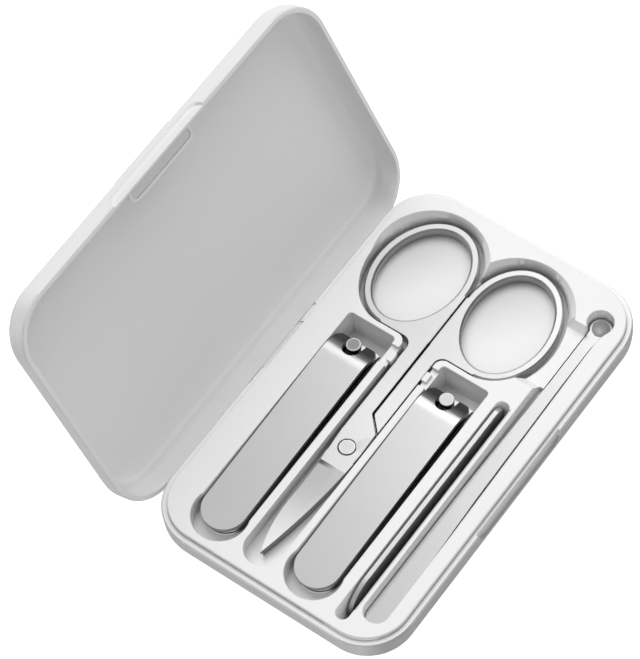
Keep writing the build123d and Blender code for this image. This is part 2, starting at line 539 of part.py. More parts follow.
def scissors():
    g, w = SC_SPLIT / 2, SC_SPLIT / 2 + SHANK_W
    z1 = BASE_H - SC_SINK
    z0, zm = z1 - SC_T, z1 - SC_T / 2
    lap = LAP_U - LAP_RUN
    top = Wire([Edge.make_line((LAP_U, g), (lap, 0.2 - w)), Edge.make_line((lap, 0.2 - w), (0, -w)),
                Edge.make_three_point_arc((0, -w), (-18.3, -2.5), (-SC_TIP, 0.65)),
                Edge.make_three_point_arc((-SC_TIP, 0.65), (-26.3, 2.9), (-16.2, 3.35)),
                Edge.make_line((-16.2, 3.35), (-5.9, 3.5)), Edge.make_line((-5.9, 3.5), (3, w)),
                Edge.make_line((3, w), (LAP_U, w)), Edge.make_line((LAP_U, w), (LAP_U, g))])
    under = Wire([Edge.make_line((LAP_U, -g), (lap, w - 0.3)), Edge.make_line((lap, w - 0.3), (0, w - 0.3)),
                  Edge.make_three_point_arc((0, w - 0.3), (-18.3, 2.9), (-SC_TIP + 0.6, 0.6)),
                  Edge.make_three_point_arc((-SC_TIP + 0.6, 0.6), (-20, -2.2), (-5.9, -3.4)),
                  Edge.make_line((-5.9, -3.4), (3, -w)), Edge.make_line((3, -w), (LAP_U, -w)),
                  Edge.make_line((LAP_U, -w), (LAP_U, -g))])
    # each half keeps its full thickness up to the slanted lap, with a gap to the other's blade
    half = loop_half(z0, z1)
    room_a = Polyline((0, -g), (LAP_U + SC_SPLIT, -g), (lap + SC_SPLIT, w - 0.3), (lap + SC_SPLIT, 2 * w),
                      (0, 2 * w), close=True)
    room_b = Polyline((0, g), (LAP_U + SC_SPLIT, g), (lap + SC_SPLIT, 0.2 - w), (lap + SC_SPLIT, -2 * w),
                      (0, -2 * w), close=True)
    left = half - prism(make_face(room_a), z0 - 1, zm + SC_LAP) + prism(make_face(top), zm + SC_LAP, z1)
    right = mirror(half, Plane.XZ) - prism(make_face(room_b), zm - SC_LAP, z1 + 1)
    right += prism(make_face(under), z0, zm - SC_LAP)
    # the blade is ground at a slant, lowest along its back
    slant = Polyline((-1.4, z1), (SHANK_W + 1, z1 - GRIND_T), (SHANK_W + 1, z1 + 1), (-1.4, z1 + 1),
                     close=True)
    left -= extrude(Pos(-GRIND_BACK, 0, 0) * (Plane.YZ * make_face(slant)), SC_TIP, dir=(-1, 0, 0))
    z_head = z1 + SC_RIVET_PROUD
    left -= Pos(0, 0, zm) * Cylinder(SC_RIVET_R, 10)
    left -= Pos(0, 0, z_head) * Cylinder(SC_RIVET_HEAD_R + 0.15, 2 * SC_RIVET_HEAD_T)
    right -= Pos(0, 0, zm) * Cylinder(SC_RIVET_R + 0.06, 10)
    rivet = Pos(0, 0, (z0 + z1) / 2) * Cylinder(SC_RIVET_R, SC_T)
    rivet += Pos(0, 0, z_head - SC_RIVET_HEAD_T / 2) * Cylinder(SC_RIVET_HEAD_R, SC_RIVET_HEAD_T)
    rivet = chamfer(edges_at(rivet, z_head), 0.1)
    place = Pos(SC_X, SC_Y, 0)
    return place * left, place * right, place * rivet


def nail_file():
    """Plate standing on edge, rounded at the top end, swept up like a bow at the other."""
    z1 = BASE_H + FILE_PROUD
    z0 = z1 - FILE_H
    x0 = X_END + SLOT_ROOM_L
    x1 = x0 + FILE_L
    bow = FILE_H - 0.9
    w = Wire([Edge.make_line((x1 - 3, z1), (x0 + bow, z1)),
              Edge.make_three_point_arc((x0 + bow, z1), (x0 + bow * (1 - 0.7071), z1 - bow * (1 - 0.7071)),
                                        (x0, z1 - bow)),
              Edge.make_line((x0, z1 - bow), (x0, z0)),
              Edge.make_line((x0, z0), (x1 - 3, z0)),
              Edge.make_three_point_arc((x1 - 3, z0), (x1 - 0.88, z0 + 0.88), (x1, z0 + 3)),
              Edge.make_line((x1, z0 + 3), (x1, z1 - 3)),
              Edge.make_three_point_arc((x1, z1 - 3), (x1 - 0.88, z1 - 0.88), (x1 - 3, z1))])
    y = Y_SLOT + SLOT_W - 1.2
    return side_prism(w, y - FILE_T / 2, y + FILE_T / 2)


def ear_pick():
    """Flat handle that tapers to a neck and a small spoon."""
    z1 = BASE_H - PICK_SINK
    x1, x2 = PICK_TAIL_X + PICK_GRIP_L, PICK_TAIL_X + PICK_TAPER_L
    pts = [(PICK_TAIL_X, PICK_R), (x1, PICK_R - 0.1), (x2, NECK_UP), (SPOON_X, NECK_UP),
           (SPOON_X, NECK_DOWN), (x2, NECK_DOWN), (x1, -PICK_MID_F), (PICK_TAIL_X, -PICK_R)]
    sk = Pos(0, PICK_Y) * make_face(Polyline(*pts, close=True))
    sk += Pos(PICK_TAIL_X, PICK_Y) * Circle(PICK_R) + Pos(SPOON_X, SPOON_Y) * Circle(SPOON_R)
    body = prism(sweep(sk, SWEEP_R), z1 - PICK_T, z1)
    return body - Pos(SPOON_X, SPOON_Y, z1 + (BOWL_R ** 2 - BOWL_W ** 2) ** 0.5) * Sphere(BOWL_R)


def keeper():
    """Steel strip under the insert that the magnet of the lid pulls on."""
    y0 = -INSERT_W / 2 + FIT + SKIRT_T
    return slab(-KEEPER_L / 2, KEEPER_L / 2, y0, y0 + KEEPER_T, PLATE_Z - KEEPER_H, PLATE_Z)


parts = {"base_shell": base_shell(), "tray_insert": tray_insert(), "latch_keeper": keeper(),
         "hinge_pin": x_rod(PIN_R, -PIN_L / 2, PIN_L / 2, HINGE_Y, HINGE_Z)}
parts["lid_shell"], parts["latch_cover"], parts["latch_magnet"] = lid_parts()
for where, y in CLIP_YS.items():
    for piece, solid in clipper(y).items():
        parts[f"clipper_{where}_{piece}"] = solid
parts["scissors_left"], parts["scissors_right"], parts["scissors_rivet"] = scissors()
parts["nail_file"] = nail_file()
parts["ear_pick"] = ear_pick()

os.makedirs("parts", exist_ok=True)
for name, solid in parts.items():
    export_step(solid, f"parts/{name}.step")
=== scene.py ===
import json
import math

import bmesh
import bpy
from bpy.props import FloatProperty, PointerProperty
from mathutils import Matrix, Vector

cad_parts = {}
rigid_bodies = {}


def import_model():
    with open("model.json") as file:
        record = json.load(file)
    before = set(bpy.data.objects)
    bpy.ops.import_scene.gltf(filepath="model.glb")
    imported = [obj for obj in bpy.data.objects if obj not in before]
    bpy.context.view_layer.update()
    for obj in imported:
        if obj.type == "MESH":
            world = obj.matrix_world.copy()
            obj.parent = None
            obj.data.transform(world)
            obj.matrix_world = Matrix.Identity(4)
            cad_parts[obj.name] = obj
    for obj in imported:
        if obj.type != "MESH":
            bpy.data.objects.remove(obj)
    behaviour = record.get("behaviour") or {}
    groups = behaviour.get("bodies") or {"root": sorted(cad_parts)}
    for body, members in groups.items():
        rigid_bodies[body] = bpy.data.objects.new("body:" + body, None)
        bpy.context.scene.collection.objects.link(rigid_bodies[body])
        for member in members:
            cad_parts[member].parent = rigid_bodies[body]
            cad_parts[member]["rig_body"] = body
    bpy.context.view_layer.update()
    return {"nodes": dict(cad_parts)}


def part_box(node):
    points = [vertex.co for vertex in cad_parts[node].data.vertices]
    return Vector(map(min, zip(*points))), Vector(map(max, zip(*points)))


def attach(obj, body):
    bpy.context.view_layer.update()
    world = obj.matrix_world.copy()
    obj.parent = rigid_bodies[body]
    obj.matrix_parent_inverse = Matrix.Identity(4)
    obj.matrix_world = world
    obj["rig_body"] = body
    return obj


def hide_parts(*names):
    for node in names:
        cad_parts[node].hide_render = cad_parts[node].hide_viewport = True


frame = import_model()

bl_info = {
    "name": "Manicure set case",
    "version": (1, 0, 0),
    "blender": (4, 5, 0),
    "location": "View3D > Sidebar > Manicure set",
    "description": "Dresses a hinged manicure set case and its steel tools",
    "category": "Object",
}

# Lengths are in millimetres, with x along the case towards the finger loops, y across it
# towards the hinge and z up, unless a line says metres, which are Blender's own.
MM = 0.001
NODES = frame["nodes"]
BODY_OF = {node: obj["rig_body"] for node, obj in NODES.items()}

# A pair of numbers says where a change of finish begins and where it is complete.

# case
THUMB_HALF = 17.3           # half the length of the thumb recess in the front wall
THUMB_IN = 0.4              # from the front of the base to the foot of the recess
THUMB_END = (2.0, 3.0)      # its depth, from its foot
THUMB_LOW = (2.0, 3.0)      # its lower end, above the feet of the case
FRONT_LIP = (1.0, 1.5)      # painted shade on the upright front edge of the insert
PICK_GAP = 1.0              # from the pick to the front wall of its slot
FILE_GAP = 1.2              # from the file to the rear wall of its slot
LOOPS = ((34.80, 17.95), (34.80, -7.95))        # middles of the finger loops
LOOP_R = 14.5               # outside radius of a loop
LOOP_Z = 8.6                # above the floor of the insert under the loops
WELL_R = (1.2, 1.3)         # rim of the well of a loop, in radii of the loop
WELL_SHADE = (-0.4, 1.15)   # painted shade in it, in radii along the way of the light
LIGHT_WAY = (0.67, 0.74)    # in plan, away from the light

# clippers
ARMS_MEET_Z = 8.3           # where the two arms meet at the tail
JOINT_SHADE_HALF = (0.2, 0.42)    # painted shade line there, from its middle
TAIL_LIT = (2.0, 4.5)    # painted light on the ends of the arms, from the tail
JAW_GROUND = (-3.7, -3.0)   # ground jaw with a painted highlight, from the cutting edges
HEAD_R = 1.9                # radius of the head of a post
BEND_BACK = 6.6             # bend of a lever behind the cutting edges
BEND_TURN = 0.5096          # change of slope at the bend
BEND_REACH = 2.8            # half the length of the eased bend
BEND_REACH_CAD = 0.68       # and of the bend it replaces
BEND_SLICES = 16
LEVER_DIMMED = (-2.6, -1.0)   # end of a lever darkened by painted shade that dims the highlight of its bend, from its bend
LEVER_FORK_SHADE = (0.1, 3.6)     # and its fork, darkened by a painted dark reflection

# scissors
SPLIT_Y = 5.0               # line along which the halves part
GRIND_AHEAD = 6.1           # step of the ground blade ahead of the rivet
GRIND_EDGE = (-0.2, 0.2)    # the step itself
GRIND_FADE = 4.0            # from the step, where the ground blade begins to brighten by painted light to its point
STEP_SHADOW_AHEAD = 0.5            # painted shadow at the foot of the step, ahead of it
STEP_SHADOW_HALF = (0.1, 0.8)      # and half its length
STEP_SHADOW_SIDE = (-1.5, 3.6)     # and its place across, from the rivet
SHANK_DARKER = (6.0, 40.0)    # darker shanks, from the rivet
SPLIT_SHADE_FROM = (-3.5, -2.5)   # painted shade lines where the halves part, from the rivet
RING_FROM = (-1.0, 1.0)     # rings, from the near edge of a loop

# file and pick
FILE_SHADE = (-1.5, 7.0)     # painted shade on the edges of the file, down from its top
RIB_PITCH = 0.5
RIB_WIDTH = 0.2
RIB_PROUD = 0.06            # how far a rib stands out of each face of the file
RIB_SHORT = 0.4             # how far it ends short of each long edge
RIB_LEAN = math.radians(4.0)
RIBS_LEFT_OUT = 5           # at the end near the finger loops
SPOON = (46.80, -27.20)     # middle of the ear spoon
SPOON_R = 2.4
SPOON_RIM = (-0.25, 0.05)   # rim of the spoon, from its radius
HEAD_RIM = (-0.45, -0.25)   # painted highlight on the rim of a turned head, from its radius

# surfaces
LOOKS_UP = (0.35, 0.75)     # share of a face's direction from which it counts as flat
LOOKS_ASIDE = (0.45, 0.85)  # and as turned to one side
GRAIN = (3.2, 3.2, 3.2)     # turns of the noise in a millimetre along each axis
CLOUD = (0.035, 0.035, 0.035)
WORN = (0.12, 0.12, 0.12)
ROLLED_LINES = (0.15, 6.0, 6.0)
BLADE_LINES = (0.2, 5.0, 5.0)
FILE_LINES = (6.0, 1.0, 0.6)
TURNED_LINES = (0.3, 0.3, 0.3)
PLASTIC_GAP = 1.8           # width of the crevices where shade is painted on the plastic
STEEL_GAP = 5.0             # and of those where shade is painted on the arms of a clipper
CLOUD_TONE = 0.985          # tones are shares of the level of their own plastic or steel
# painted shade in crevices
CREVICE_SHADE_TONE = 0.36
# painted shade in the wells of the loops
WELL_SHADE_TONE = 0.66
# thumb recess, kept out of the painted shade of the front wall
THUMB_TONE = 0.95
# painted shade on the front lip of the insert
LIP_SHADE_TONE = 0.8
STREAK_TONE = 0.95
RING_TONE = 0.62            # of the edges of the rings, partly their finish and partly painted shade
SHANK_TONE = 0.78
# painted shadow at the foot of the step
STEP_SHADOW_TONE = 0.12
# painted shade where the halves part, and softer along the rings
SPLIT_SHADE_TONE = 0.03
RING_LINE_TONE = 0.45
# painted shade on the bend and the fork of a lever
LEVER_DIMMED_TONE = 0.9
LEVER_FORK_SHADE_TONE = 0.22
SPOON_TONE = 0.75
SLOT_LIT_LEVEL = 0.98           # painted light on the walls of the slots of the file and the pick
CLOSE_SHADE_LEVEL = 0.01          # painted shade on the arms where they lie close to others
JAW_GROUND_SHEEN_LEVEL = 0.97            # ground jaw, brightened by a painted highlight
BLADE_LEVEL = 0.5           # ground blade
POINT_LIT_LEVEL = 0.8           # and its point, brightened by painted light
COOL = 0.004                # tint of a steel face
COOL_EDGE = 0.006           # and of its edges
EDGE_SAMPLES = 6
MASK_SAMPLES = 8

# meshes
WELD = 2e-7                 # metres
ON_PLANE = 1e-7             # metres
COPLANAR = math.radians(0.3)
SHARP = math.radians(28)

# stage
FLOOR_HALF = 4.0            # metres
FLOOR_DROP = 0.2            # below the feet of the case
ROOM_RISE = (0.2, 0.85)     # brightening of the room, from floor to top
CAMERA_TURN = Vector((-3.2233604, 1.6850975, -0.3078557))       # of the case as seen: axis by angle
CAMERA_SHIFT = Vector((19.10648, 19.831993, 846.602219)) * MM   # of the middle of its rim, in metres
RIM_Z = 11.0 * MM           # of the base, in metres
PANELS = (                  # name, place and width in metres, setting of its power, shows in steel
    ("top_panel", (0.34, 0.62, 1.15), 1.25, "top_power", False),
    ("side_panel", (0.63, 0.05, 0.9), 0.8, "side_power", True),
    ("front_panel", (-0.3, -0.9, 0.4), 0.6, "front_power", False),
)


# ---------------------------------------------------------------- shader maths
class Value:
    """A node socket that Python arithmetic turns into Math nodes."""

    def __init__(self, tree, socket):
        self.tree, self.socket = tree, socket

    def _math(self, operation, first, second):
        node = self.tree.add("ShaderNodeMath", {"operation": operation}, {0: first, 1: second})
        return Value(self.tree, node.outputs[0])

    def __add__(self, other):
        return self._math("ADD", self, other)

    __radd__ = __add__

    def __mul__(self, other):
        return self._math("MULTIPLY", self, other)

    __rmul__ = __mul__

    def __sub__(self, other):
        return self._math("SUBTRACT", self, other)

    def __rsub__(self, other):
        return self._math("SUBTRACT", other, self)

    def __truediv__(self, other):
        return self._math("DIVIDE", self, other)

    def __gt__(self, other):
        return self._math("GREATER_THAN", self, other)

    def power(self, exponent):
        return self._math("POWER", self, exponent)

    def absolute(self):
        return self._math("ABSOLUTE", self, 0.0)

    def step(self, low, high):
        """Smooth step from 0 at low to 1 at high."""
        node = self.tree.add("ShaderNodeMapRange", {"interpolation_type": "SMOOTHSTEP"},
                             {"Value": self, "From Min": low, "From Max": high})
        return Value(self.tree, node.outputs["Result"])

    def fall(self, start, end):
        """Smooth step from 1 at start to 0 at end."""
        return 1 - self.step(start, end)


class Tree:
    """A node tree with one way to add nodes to it."""

    def __init__(self, tree):
        self.nodes, self.links = tree.nodes, tree.links
        self.nodes.clear()

    def feed(self, socket, given):
        """Links a value or a socket to a socket, or sets a plain number or colour on it."""
        given = given.socket if isinstance(given, Value) else given
        if isinstance(given, bpy.types.NodeSocket):
            self.links.new(given, socket)
        else:
            socket.default_value = given

    def add(self, kind, settings=None, inputs=None):
        """Adds a node: its settings first, then the values or links of its sockets."""
        node = self.nodes.new(kind)
        for key, setting in (settings or {}).items():
            setattr(node, key, setting)
        for key, given in (inputs or {}).items():
            self.feed(node.inputs[key], given)
        return node

    def value(self, node, output=0):
        return Value(self, node.outputs[output])

    def axis(self, vector, axis):
        """One component of a vector socket."""
        return self.value(self.add("ShaderNodeSeparateXYZ", {}, {0: vector}), axis)


class Finish(Tree):
    """One material and its node tree."""

    def __init__(self, name):
        self.material = bpy.data.materials.new(name)
        self.material.use_nodes = True
        super().__init__(self.material.node_tree)
        self.shader = self.add("ShaderNodeBsdfPrincipled")
        self.add("ShaderNodeOutputMaterial", {}, {"Surface": self.shader.outputs[0]})
        coordinates = self.add("ShaderNodeTexCoord")
        self.place, self.facing = coordinates.outputs["Object"], coordinates.outputs["Normal"]

    def set(self, **sockets):
        """Sets or links sockets of the surface shader, such as base_color."""
        for key, given in sockets.items():
            self.feed(self.shader.inputs[key.replace("_", " ").title().replace("Ior", "IOR")], given)

    def noise(self, scale, detail):
        """Noise over the object, with its own scale along each axis."""
        scale = [turns / MM for turns in scale]
        place = self.add("ShaderNodeMapping", {}, {"Vector": self.place, "Scale": scale}).outputs[0]
        return self.value(self.add("ShaderNodeTexNoise", {}, {
            "Vector": place, "Scale": 1.0, "Detail": detail, "Roughness": 0.5}))

    def blend(self, factor, first, second):
        """Colour between first and second."""
        node = self.add("ShaderNodeMix", {"data_type": "RGBA"}, {0: factor, 6: first, 7: second})
        return node.outputs[2]

    def rounded(self, radius, samples=EDGE_SAMPLES):
        """Normal of a surface whose edges are eased by a small radius."""
        return self.add("ShaderNodeBevel", {"samples": samples}, {"Radius": radius * MM}).outputs[0]

    def relief(self, height, strength, depth, radius):
        """Normal bumped by height, over edges eased by radius."""
        return self.add("ShaderNodeBump", {}, {
            "Height": height, "Strength": strength, "Distance": depth * MM,
            "Normal": self.rounded(radius)}).outputs[0]

    def near_edge(self, radius):
        """1 at a crisp edge, 0 further than radius from it."""
        plain = self.add("ShaderNodeNewGeometry").outputs["Normal"]
        alike = self.add("ShaderNodeVectorMath", {"operation": "DOT_PRODUCT"},
                         {0: self.rounded(radius, MASK_SAMPLES), 1: plain})
        return (1 - self.value(alike, "Value")).step(0.005, 0.06)

    def open_within(self, reach):
        """1 in the open, falling to 0 deep in a gap narrower than reach."""
        sky = self.add("ShaderNodeAmbientOcclusion", {"samples": MASK_SAMPLES},
                       {"Distance": reach * MM})
        return self.value(sky, "AO")

    def along(self, axis):
        """One object coordinate in millimetres."""
        return self.axis(self.place, axis) / MM

    def away(self, centre):
        """Distance in plan from a point."""
        x, y = self.along(0) - centre[0], self.along(1) - centre[1]
        return (x * x + y * y).power(0.5)

    def look(self, axis):
        """How far a face looks along an axis, from -1 to 1."""
        return self.axis(self.facing, axis)

    def flat(self, band=LOOKS_UP):
        """1 on faces that look up or down, 0 on upright ones."""
        return self.look(2).absolute().step(*band)


def grey(level, tint=0.0):
    """Linear grey, a touch cooler with tint."""
    return (level * (1 - tint), level, level * (1 + tint), 1.0)


# ---------------------------------------------------------------- plastic
class Moulding(Finish):
    """Satin white moulding with a fine eroded grain, and painted shade in its crevices."""

    def __init__(self, name, level, rough):
        super().__init__(name)
        self.level, self.rough = level, rough
        cloud = self.noise(CLOUD, 2.0).step(0.3, 0.7)
        self.grain = self.noise(GRAIN, 2.0)
        self.colour = self.blend(cloud, grey(level * CLOUD_TONE), grey(level))
        # how open the surface is to the room; where it is not, shade is painted into the colour
        self.open_sky = self.open_within(PLASTIC_GAP).step(0.0, 0.5)

    def tone(self, mask, level):
        """Another brightness where mask is 1."""
        self.colour = self.blend(mask, self.colour, grey(level))

    def sides(self, left=1.0, front=1.0):
        """Scales the brightness of the faces that look to -x and to -y: painted shade below 1, painted
        light above.
        """
        self.tone((0 - self.look(0)).step(*LOOKS_ASIDE), self.level * left)
        self.tone((0 - self.look(1)).step(*LOOKS_ASIDE), self.level * front)
        return self

    def done(self):
        # painted shade in the crevices
        self.set(base_color=self.blend(self.open_sky, grey(self.level * CREVICE_SHADE_TONE), self.colour))
        self.set(roughness=self.rough + self.grain * 0.1 - 0.05, ior=1.46)
        self.set(normal=self.relief(self.grain, strength=0.06, depth=0.02, radius=0.12))
        return self.material


def base_plastic(level, rough):
    """Base, with painted shade on its front wall but not in the thumb recess there."""
    # painted shade on the faces that look to -y
    f = Moulding("case_plastic", level, rough).sides(front=0.62)
    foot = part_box("base_shell")[0][1] / MM + THUMB_IN
    y = f.along(1)
    recess = f.along(0).absolute().fall(THUMB_HALF - 0.4, THUMB_HALF) * y.step(foot - 0.2, foot)
    recess = recess * (y - foot).fall(*THUMB_END) * f.along(2).step(*THUMB_LOW)
    f.tone(recess, level * THUMB_TONE)
    return f.done()


def insert_plastic(level, rough):
    """Insert: painted shade in the loop wells, on -x faces and the front lip; painted light on the
    slot walls.
    """
    f = Moulding("insert_plastic", level, rough)
    y = f.along(1)
    low = f.along(2).fall(LOOP_Z, LOOP_Z + 1.0)
    # painted shade in the far part of the well of each loop, away from the light
    for centre in LOOPS:
        far = (f.along(0) - centre[0]) * LIGHT_WAY[0] + (y - centre[1]) * LIGHT_WAY[1]
        inside = (f.away(centre) / LOOP_R).fall(*WELL_R)
        inside = inside * ((y - SPLIT_Y) * (centre[1] - SPLIT_Y) > 0)
        f.tone((far / LOOP_R).step(*WELL_SHADE) * inside * low, level * WELL_SHADE_TONE)
    # painted shade on the faces that look to -x
    f.sides(left=0.92)
    # painted light on the upright walls of the slots of the file and the pick
    upright = 1 - f.flat()
    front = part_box("ear_pick")[0][1] / MM - PICK_GAP
    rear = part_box("nail_file")[1][1] / MM + FILE_GAP
    walls = upright * y.step(front - 0.3, front) * y.fall(rear, rear + 0.3)
    walls = walls * f.look(1).fall(0.2, 0.5)
    f.tone(walls, SLOT_LIT_LEVEL)
    # painted shade on the upright front lip
    lip = upright * (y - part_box("tray_insert")[0][1] / MM).fall(*FRONT_LIP)
    f.tone(lip, level * LIP_SHADE_TONE)
    # and no painted crevice shade on those walls
    f.open_sky = 1 - (1 - f.open_sky) * (1 - walls)
    return f.done()


# ---------------------------------------------------------------- steel
class Steel(Finish):
    """Polished steel: fine lines, darker upright edges that are partly a rougher cut finish and partly
    painted shade, and patches worked otherwise.
    """

    def __init__(self, name, level, rough, lines, edge=0.35, looks_up=LOOKS_UP):
        super().__init__(name)
        self.streak = self.noise(lines, 3.0)
        self.colour = self.tone(level)
        self.wear = rough + self.streak * 0.08 + self.noise(WORN, 2.0) * 0.04 - 0.06
        self.shine = 1.0
        # upright faces take the darker edge tone: partly a rougher cut finish, partly painted shade
        self.sheared_and_shaded = 1 - self.flat(looks_up)
        self.edge = grey(level * edge, COOL_EDGE)

    def tone(self, level):
        """Grey of a streaky face."""
        return self.blend(self.streak, grey(level * STREAK_TONE, COOL), grey(level, COOL))

    def patch(self, mask, level, rougher=0.0, matt=0.0):
        """Another tone where mask is 1; matt is how far it scatters the light."""
        self.colour = self.blend(mask, self.colour, self.tone(level))
        if rougher:
            self.wear = self.wear + mask * rougher
        if matt:
            self.shine = self.shine - mask * matt

    def done(self, soft=0.1, grain=0.05):
        """Joins it up, with edges eased by soft and lines as strong as grain."""
        self.set(base_color=self.blend(self.sheared_and_shaded, self.colour, self.edge))
        self.set(roughness=self.wear, metallic=self.shine)
        self.set(normal=self.relief(self.streak, strength=grain, depth=0.01, radius=soft))
        return self.material


def lever_steel(level, rough, x_bend):
    """Satin strip with painted shade that dims the highlight of its bend, and a fork darkened by a
    painted dark reflection.
    """
    f = Steel("lever_steel", level, rough, ROLLED_LINES, edge=0.42)
    past_bend = f.along(0) - x_bend
    # painted shade dimming the highlight of the bend
    f.patch(past_bend.step(*LEVER_DIMMED), level * LEVER_DIMMED_TONE)
    # painted dark reflection on the fork
    f.patch(past_bend.step(*LEVER_FORK_SHADE), level * LEVER_FORK_SHADE_TONE)
    return f.done(soft=0.15)


def arm_steel(level, rough, x_tail, x_jaw):
    """Arms with painted shade where they lie close to others and where they meet at the tail, painted
    light on their tail ends, and a ground jaw with a painted highlight.
    """
    f = Steel("arm_steel", level, rough, ROLLED_LINES, edge=0.5)
    x = f.along(0)
    # painted light on the tail ends of the arms
    tail = (x - x_tail).fall(*TAIL_LIT)
    # painted shade line where the two arms meet at the tail
    joint_shade = (f.along(2) - ARMS_MEET_Z).absolute().fall(*JOINT_SHADE_HALF)
    # painted shade where the arms lie close to others, out of the painted light of the tail
    open_sky = 1 - f.open_within(STEEL_GAP).fall(0.3, 0.75) * (1 - tail) - joint_shade * tail
    f.edge = f.blend(open_sky, grey(CLOSE_SHADE_LEVEL), f.blend(tail, f.edge, grey(1.0)))
    f.patch(1 - open_sky, CLOSE_SHADE_LEVEL)
    # painted light: the tail ends white and matt
    f.patch(tail * open_sky, 1.0, rougher=0.2, matt=0.7)
    # ground jaw: a rougher finish, brightened by a painted highlight
    f.patch((x - x_jaw).step(*JAW_GROUND), JAW_GROUND_SHEEN_LEVEL, rougher=0.2, matt=0.85)
    return f.done(soft=0.15)


def blade_steel(level, rough, rivet, x_tip):
    """Scissors: ground beyond the step, painted light to the point, painted shadow at the step, darker
    shanks, painted shade lines.
    """
    f = Steel("scissor_steel", level, rough, BLADE_LINES, edge=0.34)
    x = f.along(0)
    past_rivet = x - rivet[0]
    x_grind = rivet[0] - GRIND_AHEAD
    ring = (x - (LOOPS[0][0] - LOOP_R)).step(*RING_FROM)
    # upright edges of the rings: less painted shade than elsewhere
    f.edge = f.blend(ring, f.edge, grey(level * RING_TONE))
    up = f.look(2).step(0.5, 0.9)
    ground = (x - x_grind).fall(*GRIND_EDGE) * up
    f.patch(ground, BLADE_LEVEL, rougher=0.2, matt=0.6)
    # painted light brightening the ground blade towards its point
    f.patch(ground * x.fall(x_tip, x_grind - GRIND_FADE), POINT_LIT_LEVEL, matt=0.2)
    # painted shadow at the foot of the grind step
    foot = (x - (x_grind - STEP_SHADOW_AHEAD)).absolute().fall(*STEP_SHADOW_HALF)
    foot = foot * (f.along(1) - rivet[1]).step(*STEP_SHADOW_SIDE)
    f.patch(foot * up, level * STEP_SHADOW_TONE)
    # darker shanks past the rivet
    f.patch(past_rivet.step(*SHANK_DARKER), level * SHANK_TONE)
    # painted shade along crisp edges: black where the halves part, softer around the rings
    shade_line = f.near_edge(0.5)
    f.patch(shade_line * past_rivet.step(*SPLIT_SHADE_FROM) * (1 - ring), level * SPLIT_SHADE_TONE)
    f.patch(shade_line * ring, level * RING_LINE_TONE)
    return f.done(soft=0.12)


def file_steel(level, rough):
    """File, whose upright faces are pale at the top edge and darkened by painted shade down in the
    slot.
    """
    f = Steel("file_steel", level * 1.08, rough + 0.15, FILE_LINES)
    down = (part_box("nail_file")[1][2] / MM - f.along(2)).step(*FILE_SHADE)
    # painted shade deepening down the upright faces into the slot
    f.edge = f.blend(down, grey(0.6), grey(0.06))
    return f.done()


def pick_steel(level, rough):
    """Pick with sides darkened by painted shade, whose spoon is rough inside."""
    # painted shade on the sides
    f = Steel("pick_steel", level * 0.78, rough + 0.04, ROLLED_LINES, edge=0.06)
    f.patch((f.away(SPOON) - SPOON_R).fall(*SPOON_RIM), level * SPOON_TONE, rougher=0.25)
    return f.done()


def turned_steel(name, level, rough, centre, radius, rim):
    """A round head with a painted highlight on its rim, set in sides darkened by painted shade."""
    f = Steel(name, level, rough, TURNED_LINES, edge=0.1, looks_up=(0.2, 0.5))
    # painted highlight on the rim
    f.patch((f.away(centre) - radius).step(*HEAD_RIM), rim)
    return f.done(soft=0.2, grain=0.02)


# ---------------------------------------------------------------- meshes
def plan_circle(node):
    """Middle and radius of a turned piece seen from above."""
    low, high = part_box(node)
    return [(low[i] + high[i]) / 2 / MM for i in (0, 1)], (high[0] - low[0]) / 2 / MM


def shown(name, data):
    """A new object in the scene."""
    obj = bpy.data.objects.new(name, data)
    bpy.context.scene.collection.objects.link(obj)
    return obj


def smooth_into(mesh, bm):
    """Writes bm into a mesh with smooth curved faces and crisp edges."""
    for face in bm.faces:
        face.smooth = True
    bm.to_mesh(mesh)
    bm.free()
    mesh.set_sharp_from_angle(angle=SHARP)


def dress(node, material):
    """Shows a welded copy of a CAD node in a finish, on the node's own body."""
    mesh = NODES[node].data.copy()
    mesh.name = node + "_skin"
    mesh.materials.clear()
    mesh.materials.append(material)
    bm = bmesh.new()
    bm.from_mesh(mesh)
    bmesh.ops.remove_doubles(bm, verts=bm.verts, dist=WELD)
    bmesh.ops.dissolve_limit(bm, angle_limit=COPLANAR, verts=bm.verts, edges=bm.edges,
                             delimit={"NORMAL"})
    smooth_into(mesh, bm)
    obj = shown(node + "_skin", mesh)
    obj.modifiers.new("weighted_normals", "WEIGHTED_NORMAL").keep_sharp = True
    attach(obj, BODY_OF[node])
    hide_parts(node)
    return obj


def ease_bend(mesh, x_bend):
    """Widens the bend of a lever: slices it across and lowers the slices onto a wider curve."""
    bm = bmesh.new()
    bm.from_mesh(mesh)
    for i in range(BEND_SLICES + 1):
        x = x_bend + BEND_REACH * (2 * i / BEND_SLICES - 1)
        bmesh.ops.bisect_plane(bm, geom=bm.verts[:] + bm.edges[:] + bm.faces[:], dist=ON_PLANE,
                               plane_co=(x * MM, 0, 0), plane_no=(1, 0, 0))
    for vert in bm.verts:
        away = abs(vert.co.x / MM - x_bend)
        eased = BEND_TURN / (6 * BEND_REACH ** 2) * max(0.0, BEND_REACH - away) ** 3
        as_cut = BEND_TURN / (4 * BEND_REACH_CAD) * max(0.0, BEND_REACH_CAD - away) ** 2
        vert.co.z -= (eased - as_cut) * MM
    smooth_into(mesh, bm)


